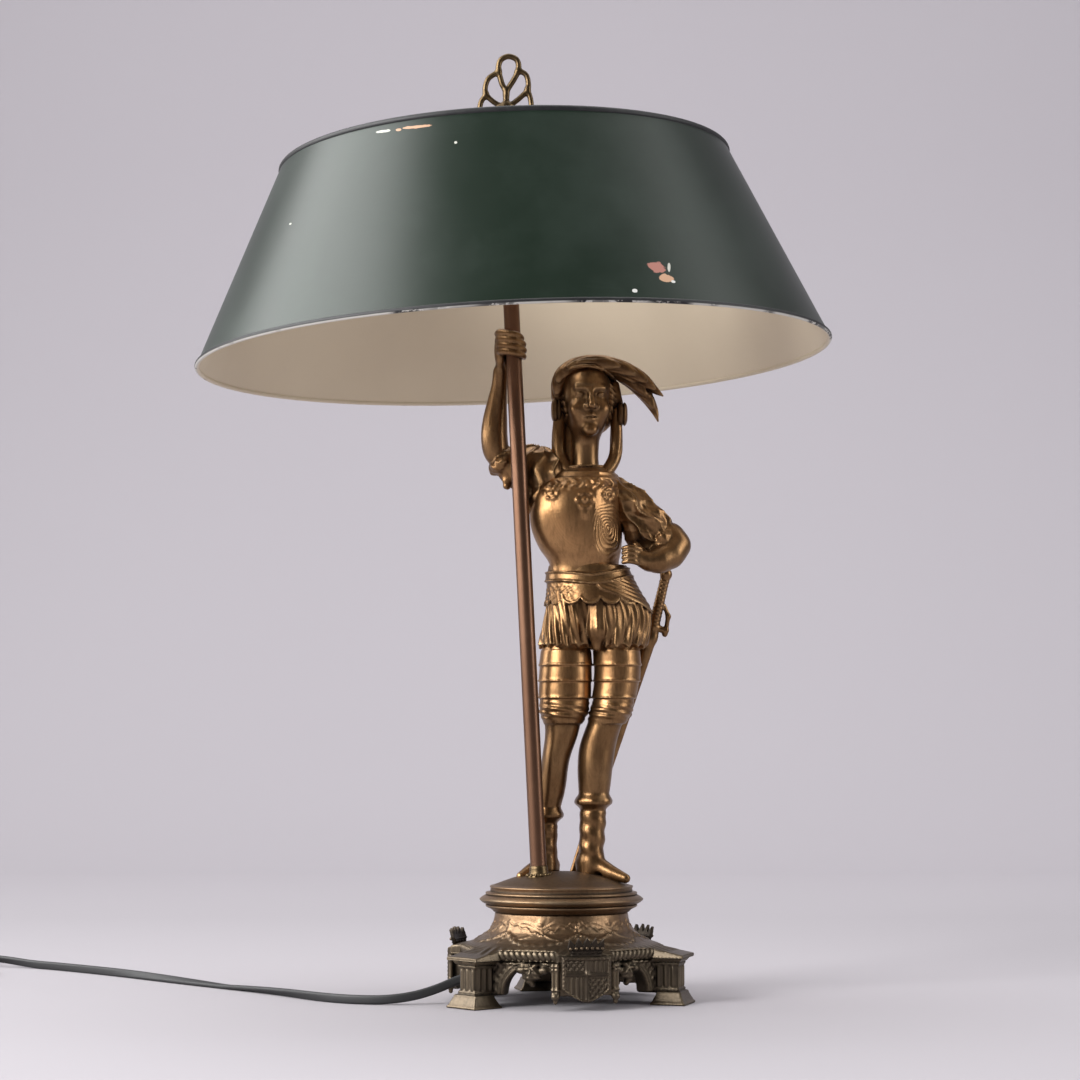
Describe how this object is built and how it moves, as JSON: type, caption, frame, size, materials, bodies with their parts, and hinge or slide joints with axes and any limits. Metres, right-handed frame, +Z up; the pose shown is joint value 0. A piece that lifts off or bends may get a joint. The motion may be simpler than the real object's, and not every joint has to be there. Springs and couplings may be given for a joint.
{
  "type": "figure table lamp",
  "caption": "Table lamp with a cast bronze halberdier who grips a leaning pole on a tripod plinth, under a green metal cone shade, with a cord, a switch and a plug",
  "frame": {"origin": "On the table straight below the centre of the shade's lower rim", "axes": "+X is the viewer's right, the front looks along -Y, +Z is up"},
  "size_m": [0.7121, 0.4715, 0.5921],
  "materials": {
    "bronze_base": "dark patinated bronze",
    "bronze_figure": "golden brown patina",
    "bronze_pole": "coppery brown, satin",
    "brass": "aged, satin",
    "steel": "plated",
    "shade_green": "dark green, worn",
    "rim_black": "black, worn",
    "bulb_glass": "opal",
    "cord_black": "satin",
    "fitting_black": "moulded",
    "tie": "matte"
  },
  "bodies": {
    "stand": {"base_plinth": "bronze_base", "base_top": "bronze_base", "shield_front": "bronze_base", "shield_rear": "bronze_base", "shield_left": "bronze_base", "coronet_front": "bronze_base", "coronet_rear": "bronze_base", "coronet_left": "bronze_base", "figure_hips": "bronze_figure", "figure_torso": "bronze_figure", "figure_right_leg": "bronze_figure", "figure_left_leg": "bronze_figure", "figure_head": "bronze_figure", "figure_cap": "bronze_figure", "figure_plume": "bronze_figure", "figure_lappets": "bronze_figure", "figure_right_arm": "bronze_figure", "figure_left_arm": "bronze_figure", "sword_hilt": "bronze_figure", "sword_scabbard": "bronze_figure", "pole_tube": "bronze_pole", "pole_collar": "brass", "nipple_left": "brass", "nipple_right": "brass", "cluster_body": "brass", "shade_post": "brass", "spider_locknut": "brass", "plug_pins": "brass", "lampholder_left": "brass", "lampholder_right": "brass", "pole_washer": "steel", "pole_nut": "steel", "figure_screws": "steel", "cord_run": "cord_black", "cord_coil": "cord_black", "inner_flex": "cord_black", "cord_grip": "fitting_black", "switch_lower_shell": "fitting_black", "switch_upper_shell": "fitting_black", "plug_body": "fitting_black", "cord_tie": "tie"},
    "shade": {"shade_cone": "shade_green", "shade_upper_rim": "rim_black", "shade_lower_rim": "rim_black", "shade_spider": "steel"},
    "finial": {"finial": "brass"},
    "bulb_left": {"bulb_cap_left": "brass", "bulb_glass_left": "bulb_glass"},
    "bulb_right": {"bulb_cap_right": "brass", "bulb_glass_right": "bulb_glass"},
    "rocker": {"switch_rocker": "fitting_black"}
  },
  "joints": [
    {"name": "shade_turn", "type": "hinge", "parent": "stand", "child": "shade", "pos_m": [0, 0, 0.3977], "axis": [-0.0489, 0, 0.9988], "continuous": true},
    {"name": "finial_turn", "type": "hinge", "parent": "stand", "child": "finial", "pos_m": [0, 0, 0.3977], "axis": [-0.0489, 0, 0.9988], "continuous": true},
    {"name": "bulb_left_turn", "type": "hinge", "parent": "stand", "child": "bulb_left", "pos_m": [-0.00352, 0, 0.46961], "axis": [0.9988, 0, 0.0489], "continuous": true},
    {"name": "bulb_right_turn", "type": "hinge", "parent": "stand", "child": "bulb_right", "pos_m": [-0.00352, 0, 0.46961], "axis": [0.9988, 0, 0.0489], "continuous": true},
    {"name": "switch_rock", "type": "hinge", "parent": "stand", "child": "rocker", "pos_m": [-0.417, 0.2605, 0.0138], "axis": [0, 1, 0], "range_deg": [-16, 0]}
  ]
}
